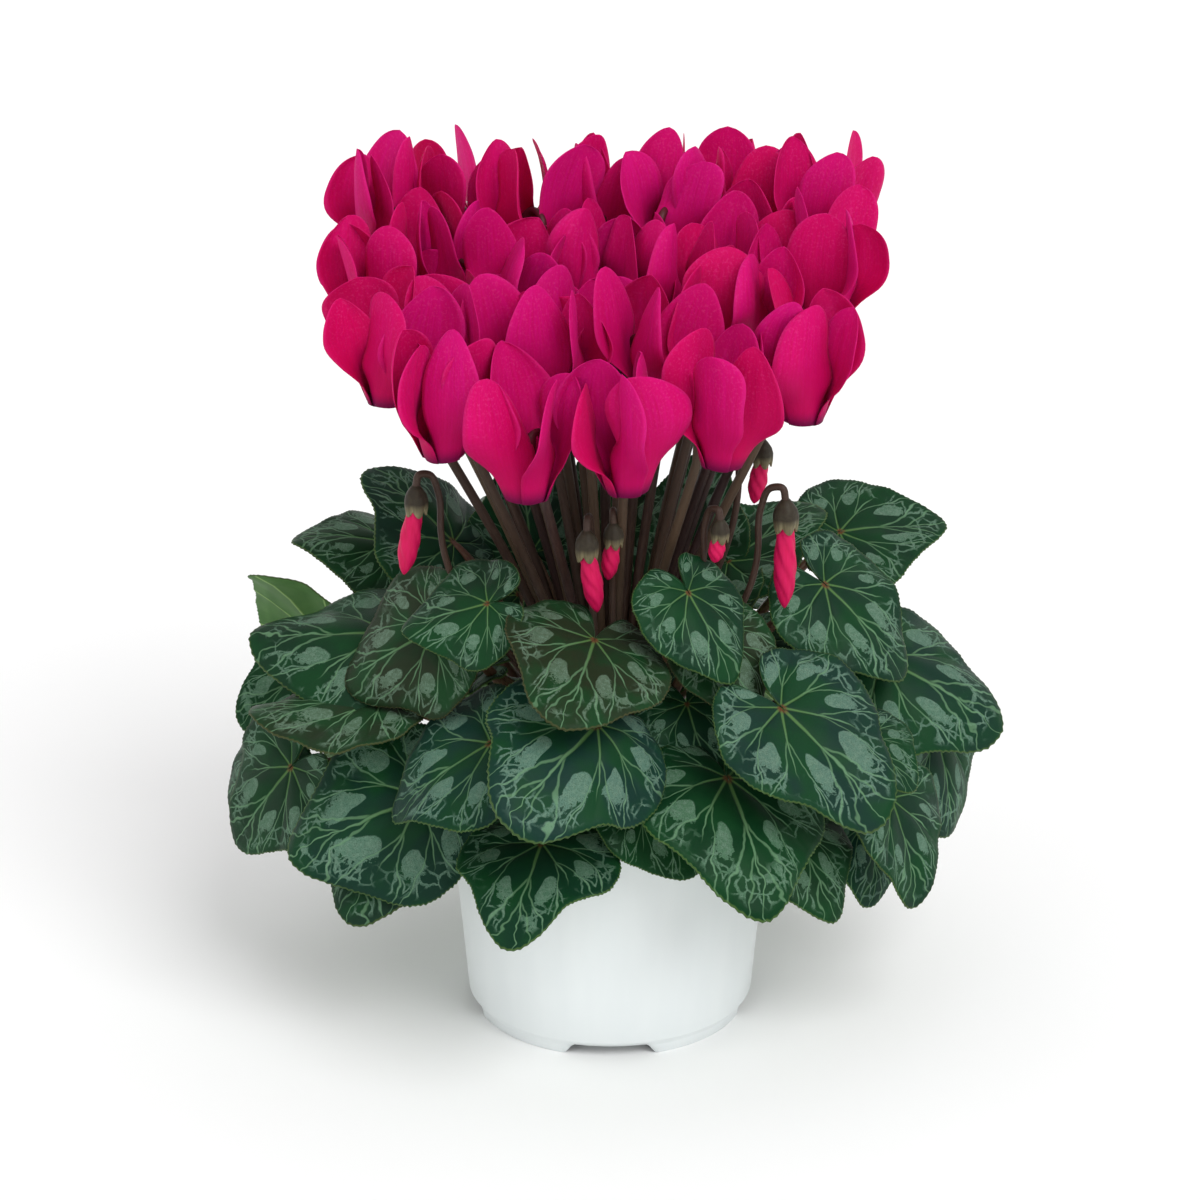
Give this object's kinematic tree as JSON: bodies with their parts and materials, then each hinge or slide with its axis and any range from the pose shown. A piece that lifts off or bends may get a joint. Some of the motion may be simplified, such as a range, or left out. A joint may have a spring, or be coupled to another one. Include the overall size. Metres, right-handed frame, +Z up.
{
  "type": "potted cyclamen",
  "caption": "Flowering houseplant in a round nursery pot: nodding blooms with petals turned up on bare stems above a mound of heart-shaped marbled leaves.",
  "frame": {"origin": "centre of the pot's foot, on the surface that the pot stands on", "axes": "+Z up along the pot's axis, -Y towards the viewer of the front, +X to that viewer's right"},
  "size_m": [0.3095, 0.2485, 0.3347],
  "materials": {
    "leaf": "soft satin leaf, dark green with silvery marbling",
    "petal": "matt satin petal, magenta",
    "stem": "matt fleshy stem, purple brown",
    "tuber": "rough corky skin",
    "soil": "crumbly peat",
    "pot": "smooth moulded white plastic"
  },
  "bodies": {
    "root": {"leaves_1": "leaf", "leaves_2": "leaf", "leaves_3": "leaf", "leaves_4": "leaf", "leaves_5": "leaf", "leaves_6": "leaf", "leaves_7": "leaf", "leaves_8": "leaf", "leaves_9": "leaf", "leaves_10": "leaf", "leaves_11": "leaf", "leaves_12": "leaf", "leaves_13": "leaf", "leaves_14": "leaf", "leaves_15": "leaf", "leaves_16": "leaf", "leaves_17": "leaf", "leaves_18": "leaf", "leaves_19": "leaf", "leaves_20": "leaf", "leaves_21": "leaf", "leaves_22": "leaf", "leaves_23": "leaf", "bloom_1": "petal", "bloom_2": "petal", "bloom_3": "petal", "bloom_4": "petal", "bloom_5": "petal", "bloom_6": "petal", "bloom_7": "petal", "bloom_8": "petal", "bloom_9": "petal", "bloom_10": "petal", "bloom_11": "petal", "bloom_12": "petal", "bloom_13": "petal", "bloom_14": "petal", "bloom_15": "petal", "bloom_16": "petal", "bloom_17": "petal", "bloom_18": "petal", "bloom_19": "petal", "bloom_20": "petal", "bloom_21": "petal", "bloom_22": "petal", "bloom_23": "petal", "bloom_24": "petal", "bud_1": "petal", "bud_2": "petal", "bud_3": "petal", "bud_4": "petal", "bud_5": "petal", "bud_6": "petal", "flower_stems": "stem", "tuber": "tuber", "soil": "soil", "pot": "pot"}
  },
  "joints": []
}
